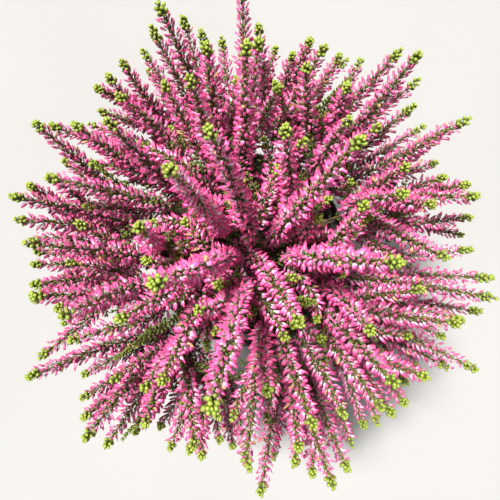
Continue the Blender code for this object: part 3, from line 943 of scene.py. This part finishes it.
def lathe(form, profile, sides, shape=None):
    """Turns a profile of (radius, height) from the axis, down its outer side, back to the axis.

    Where a function is given as shape, it moves each corner of the rings in place.
    """
    angles = np.arange(sides) * math.tau / sides
    inner = np.array(profile[1:-1])
    across = [inner[:, :1] * np.cos(angles), inner[:, :1] * np.sin(angles)]
    rings = np.stack([*across, np.repeat(inner[:, 1:], sides, axis=1)], axis=2).reshape(-1, 3)
    if shape:
        for corner in rings:
            shape(corner)
    corners = np.vstack([(0, 0, profile[0][1]), rings, (0, 0, profile[-1][1])])
    form.add(corners, ring_faces(sides, len(inner))[:, ::-1])


def knotted(corner):
    """Swells a corner of the crown in or out, above the soil."""
    if corner[2] > SOIL_TOP + KNOTS_FROM:
        corner[:2] *= 1 + KNOT_DEPTH * noise.noise(Vector(corner) * KNOT_SCALE)


def woody_base(branches, bark):
    """The knotted crown, its root and the woody part of every shoot."""
    root_end = SOIL_TOP - ROOT_DEPTH
    profile = [(0, SOIL_TOP + CROWN_HEIGHT)]
    profile += [(wide * CROWN_RADIUS, SOIL_TOP + high * CROWN_HEIGHT) for wide, high in CROWN_DOME]
    profile.append((CROWN_RADIUS, SOIL_TOP + BRANCH_START_HEIGHT))
    profile += [(wide * CROWN_RADIUS, SOIL_TOP + high) for wide, high in CROWN_FOOT]
    profile += [
        (ROOT_RADIUS, SOIL_TOP + SOIL_RISE),
        (ROOT_RADIUS, root_end + ROOT_TAPER),
        (ROOT_END * ROOT_RADIUS, root_end),
        (0, root_end),
    ]
    body = Form()
    lathe(body, profile, CROWN_SIDES, knotted)
    for points, end in branches:
        tube(body, points, 0, end, (BRANCH_START_RADIUS, BRANCH_END_RADIUS), BRANCH_SIDES)
    body.piece("woody_base", bark, "bark", "woody_stems")


def pot_inner_radius(height):
    share = height / POT_HEIGHT
    return POT_FOOT_RADIUS + share * (POT_TOP_RADIUS - COLLAR_STEP - POT_FOOT_RADIUS) - POT_WALL


def half_circle(radius, height, size, count):
    """Points over the top of a circle about (radius, height), from its inner to its outer side."""
    angles = np.radians(np.linspace(180, 0, count))
    return [(radius + size * math.cos(a), height + size * math.sin(a)) for a in angles]


def pot_profile():
    """From the middle of the pot's floor, up inside, over the rim and down the outer side to its foot."""
    collar = POT_HEIGHT - COLLAR_HEIGHT
    under_collar = pot_inner_radius(collar) + POT_WALL
    floor = pot_inner_radius(POT_WALL)
    lip = POT_WALL / 2
    inside = [
        (0, POT_WALL),
        (floor - FLOOR_BEND_START, POT_WALL),
        (floor - FLOOR_BEND_END[0], POT_WALL + FLOOR_BEND_END[1]),
        (pot_inner_radius(0.5 * collar), 0.5 * collar),
        (pot_inner_radius(collar), collar),
        (POT_TOP_RADIUS - COLLAR_INSIDE[0] - POT_WALL, collar + COLLAR_INSIDE[1]),
    ]
    rim = half_circle(POT_TOP_RADIUS - lip, POT_HEIGHT - lip, lip, RIM_POINTS)
    outside = [
        (POT_TOP_RADIUS - COLLAR_EDGE_UPPER[0], collar + COLLAR_EDGE_UPPER[1]),
        (POT_TOP_RADIUS - COLLAR_EDGE_LOWER[0], collar + COLLAR_EDGE_LOWER[1]),
        (under_collar + COLLAR_CORNER_OUTER[0], collar - COLLAR_CORNER_OUTER[1]),
        (under_collar, collar - COLLAR_CORNER_DROP),
        (0.5 * (under_collar + POT_FOOT_RADIUS), 0.5 * (collar + FOOT_CHAMFER)),
        (POT_FOOT_RADIUS, FOOT_CHAMFER),
        (POT_FOOT_RADIUS - CHAMFER_BEND[0] * FOOT_CHAMFER, CHAMFER_BEND[1] * FOOT_CHAMFER),
        (POT_FOOT_RADIUS - FOOT_CHAMFER, 0),
        (0, 0),
    ]
    return inside + rim + outside


def drain_cutter(number):
    """A rod through the pot's floor where one drain hole is cut."""
    angle = math.tau * (number + 0.5) / DRAIN_COUNT
    form = bmesh.new()
    bmesh.ops.create_cone(form, cap_ends=True, segments=DRAIN_SIDES, radius1=DRAIN_RADIUS,
                          radius2=DRAIN_RADIUS, depth=4 * POT_WALL)
    mesh = bpy.data.meshes.new("drain")
    form.to_mesh(mesh)
    form.free()
    cutter = bpy.data.objects.new(f"drain_{number}", mesh)
    cutter.location = (DRAIN_CIRCLE * math.cos(angle), DRAIN_CIRCLE * math.sin(angle), POT_WALL / 2)
    return cutter


def drain(made):
    """Cuts the drain holes into the pot's mesh and takes the cutters away."""
    cutters = bpy.data.collections.new("drain_cutters")
    bpy.context.scene.collection.children.link(cutters)
    for i in range(DRAIN_COUNT):
        cutters.objects.link(drain_cutter(i))
    cut = made.modifiers.new("drains", "BOOLEAN")
    cut.operand_type = "COLLECTION"
    cut.collection = cutters
    cut.operation = "DIFFERENCE"
    cut.solver = "EXACT"
    bpy.context.view_layer.update()
    graph = bpy.context.evaluated_depsgraph_get()
    whole = bpy.data.meshes.new_from_object(made.evaluated_get(graph))
    made.modifiers.clear()
    made.data = whole
    for cutter in list(cutters.objects):
        bpy.data.objects.remove(cutter)
    bpy.data.collections.remove(cutters)


def pot(plastic):
    """The pot: a tapered shell with a rounded rim, a stepped collar, a chamfered foot and drain holes."""
    body = Form()
    lathe(body, pot_profile(), POT_SIDES)
    made = body.piece("nursery_pot", plastic, "pot_plastic", "pot")
    drain(made)
    made.data.materials.clear()
    made.data.materials.append(plastic)
    made.data.set_sharp_from_angle(angle=math.radians(SHARP_ANGLE))


def soil_height(radius, hole, edge_radius):
    """The height of the peat, which rises a little from the pot's wall to the crown."""
    return SOIL_TOP + SOIL_RISE * (1 - (radius - hole) / (edge_radius - hole))


def peat_profile(hole, edge, edge_radius):
    """From the foot of the root's hole, up and over the peat's top, and down to the pot's floor."""
    hole_foot = SOIL_TOP - ROOT_DEPTH - GAP
    profile = [(0, hole_foot), (hole, hole_foot)]
    for i in range(SOIL_RINGS + 1):
        share = i / SOIL_RINGS
        profile.append((hole + (edge_radius - hole) * share, SOIL_TOP + SOIL_RISE * (1 - share)))
    foot = POT_WALL + GAP
    foot_radius = pot_inner_radius(POT_WALL) - SOIL_FOOT_INSET - GAP
    return profile + [(edge_radius, edge - SOIL_EDGE_BEND), (foot_radius, foot), (0, foot)]


def add_crumbs(body, hole, edge_radius):
    """Loose crumbs and long fibres scattered on the peat."""
    draw = np.random.default_rng(SEED)
    ball = bmesh.new()
    bmesh.ops.create_icosphere(ball, subdivisions=1, radius=1)
    shape = np.array([v.co[:] for v in ball.verts])
    faces = np.array([[v.index for v in f.verts] for f in ball.faces])
    ball.free()
    nearest, farthest = CROWN_RADIUS + CRUMB_MARGINS[0], edge_radius - CRUMB_MARGINS[1]
    radius = np.sqrt(draw.uniform(nearest**2, farthest**2, CRUMB_COUNT))
    turn = draw.uniform(0, math.tau, CRUMB_COUNT)
    size = draw.uniform(*CRUMB_SIZE, CRUMB_COUNT)
    long = np.where(draw.random(CRUMB_COUNT) < FIBRE_SHARE, FIBRE_LENGTH, 1.0)
    width = draw.uniform(*CRUMB_WIDTH, CRUMB_COUNT)
    height = draw.uniform(*CRUMB_HEIGHT, CRUMB_COUNT)
    sizes = size[:, None] * np.stack([long, width, height], axis=1)
    spin = draw.uniform(0, math.tau, CRUMB_COUNT)
    flat = np.zeros(CRUMB_COUNT)
    side = np.stack([np.cos(spin), np.sin(spin), flat], axis=1)
    ahead = np.stack([-np.sin(spin), np.cos(spin), flat], axis=1)
    up = np.stack([flat, flat, flat + 1], axis=1)
    lift = soil_height(radius, hole, edge_radius) + CRUMB_LIFT * size
    places = np.stack([radius * np.cos(turn), radius * np.sin(turn), lift], axis=1)
    tints = np.stack([flat, draw.random(CRUMB_COUNT), flat + 1, flat], axis=1)
    rough = shape * draw.uniform(*CRUMB_ROUGHNESS, shape.shape)
    body.scatter((rough, faces), places, np.stack([side, ahead, up], axis=2), sizes, tints)


def soil(peat):
    """Peat with a crumbled top around the crown, and loose crumbs and fibres on it."""
    hole = ROOT_RADIUS + GAP
    edge = SOIL_TOP - SOIL_EDGE_DROP
    edge_radius = pot_inner_radius(edge) - GAP

    def lumpy(corner):
        radius = math.hypot(corner[0], corner[1])
        if corner[2] > SOIL_TOP - LUMPS_FROM and CROWN_RADIUS < radius < edge_radius - LUMP_MARGIN:
            lump = LUMP_GAIN * noise.fractal(Vector(corner) * LUMP_SCALE, *LUMP_DETAIL)
            corner[2] += LUMP_HEIGHT * max(-LUMP_LIMIT, min(LUMP_LIMIT, lump))

    body = Form()
    lathe(body, peat_profile(hole, edge, edge_radius), SOIL_SIDES, lumpy)
    add_crumbs(body, hole, edge_radius)
    body.piece("peat_top", peat, "peat", "soil")


# Floor, light and camera

def add_floor():
    mesh = bpy.data.meshes.new("studio_floor")
    corners = [(-FLOOR_HALF, -FLOOR_HALF, 0), (FLOOR_HALF, -FLOOR_HALF, 0),
               (FLOOR_HALF, FLOOR_HALF, 0), (-FLOOR_HALF, FLOOR_HALF, 0)]
    mesh.from_pydata(corners, [], [(0, 1, 2, 3)])
    mesh.materials.append(floor_material())
    floor = bpy.data.objects.new("studio_floor", mesh)
    bpy.context.scene.collection.objects.link(floor)


def add_sky():
    """A soft sky that is bright at the horizon and dark overhead."""
    world = bpy.data.worlds.new("studio")
    bpy.context.scene.world = world
    world.use_nodes = True
    sky, links = world.node_tree.nodes, world.node_tree.links
    place = sky.new("ShaderNodeTexCoord")
    split = sky.new("ShaderNodeSeparateXYZ")
    ramp = sky.new("ShaderNodeValToRGB")
    links.new(place.outputs["Generated"], split.inputs["Vector"])
    links.new(split.outputs["Z"], ramp.inputs["Fac"])
    links.new(ramp.outputs["Color"], sky["Background"].inputs["Color"])
    ramp.color_ramp.elements.new(0.5)
    for element, (height, colour) in zip(ramp.color_ramp.elements, SKY_STOPS):
        element.position = height
        element.color = colour


def add_lights():
    for name, aim, softness, strength, colour in LIGHTS:
        light = bpy.data.lights.new(name, "SUN")
        light.angle = softness
        light.energy = strength
        light.color = colour
        made = bpy.data.objects.new(name, light)
        made.rotation_euler = Vector(aim).to_track_quat("-Z", "Y").to_euler()
        bpy.context.scene.collection.objects.link(made)


def add_camera():
    """The camera that looks straight down on the plant, as in the photo."""
    lens = bpy.data.cameras.new("camera")
    lens.lens = CAMERA_LENS
    lens.sensor_width = SENSOR_WIDTH
    lens.clip_start = NEAREST_SEEN
    camera = bpy.data.objects.new("camera", lens)
    camera.location = (0, 0, CAMERA_HEIGHT)
    bpy.context.scene.collection.objects.link(camera)
    bpy.context.scene.camera = camera


def build():
    floret, green = floret_material(), green_material()
    branches = grow(crowd(plan()), floret, green)
    woody_base(branches, bark_material())
    soil(peat_material())
    pot(plastic_material())
    add_floor()
    add_sky()
    add_lights()
    add_camera()
    bpy.context.scene.view_settings.view_transform = "Standard"


build()
bpy.context.view_layer.update()
